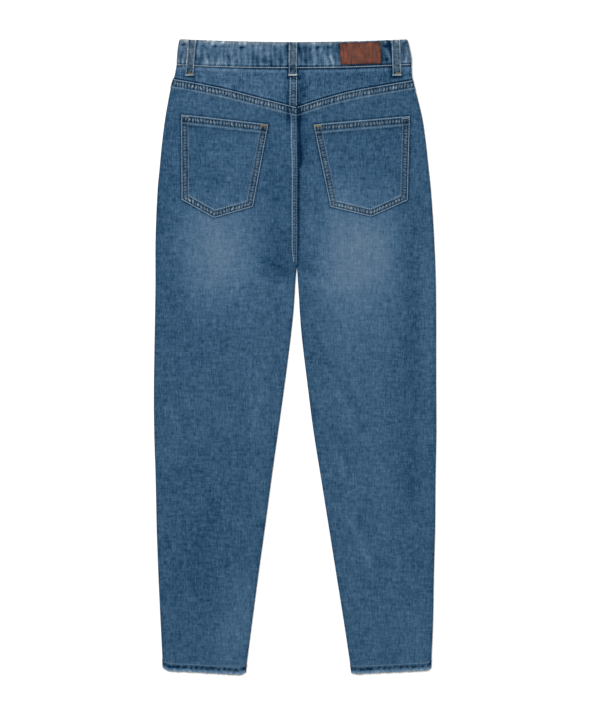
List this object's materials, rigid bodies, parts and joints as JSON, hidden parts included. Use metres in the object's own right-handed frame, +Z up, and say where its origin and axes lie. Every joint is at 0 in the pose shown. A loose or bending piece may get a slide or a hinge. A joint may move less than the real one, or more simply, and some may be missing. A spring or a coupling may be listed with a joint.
{
  "type": "jeans",
  "caption": "High-waisted tapered jeans in washed blue denim, laid face down with the back up: yoke, back pockets, belt loops, plain leather patch, front closure underneath.",
  "frame": {"origin": "middle of the outline, on the surface that the jeans lie on", "axes": "+Y up the garment to the waist, +Z up out of the back, +X to the wearer's right"},
  "size_m": [0.4516, 1.0158, 0.0142],
  "materials": {
    "denim": "washed indigo twill, faded at the seat and thighs",
    "patch_leather": "reddish brown, matt, plain",
    "button_brass": "worn, satin",
    "zip_brass": "satin"
  },
  "bodies": {
    "root": {"back_leg_left": "denim", "back_leg_right": "denim", "back_pocket_left": "denim", "back_pocket_right": "denim", "belt_loop_back": "denim", "belt_loop_front_left": "denim", "belt_loop_front_right": "denim", "belt_loop_side_left": "denim", "belt_loop_side_right": "denim", "front_facing_left": "denim", "front_facing_right": "denim", "front_leg_left": "denim", "front_leg_right": "denim", "waistband": "denim", "yoke_left": "denim", "yoke_right": "denim", "patch": "patch_leather", "waist_button": "button_brass", "zip": "zip_brass"}
  },
  "joints": []
}
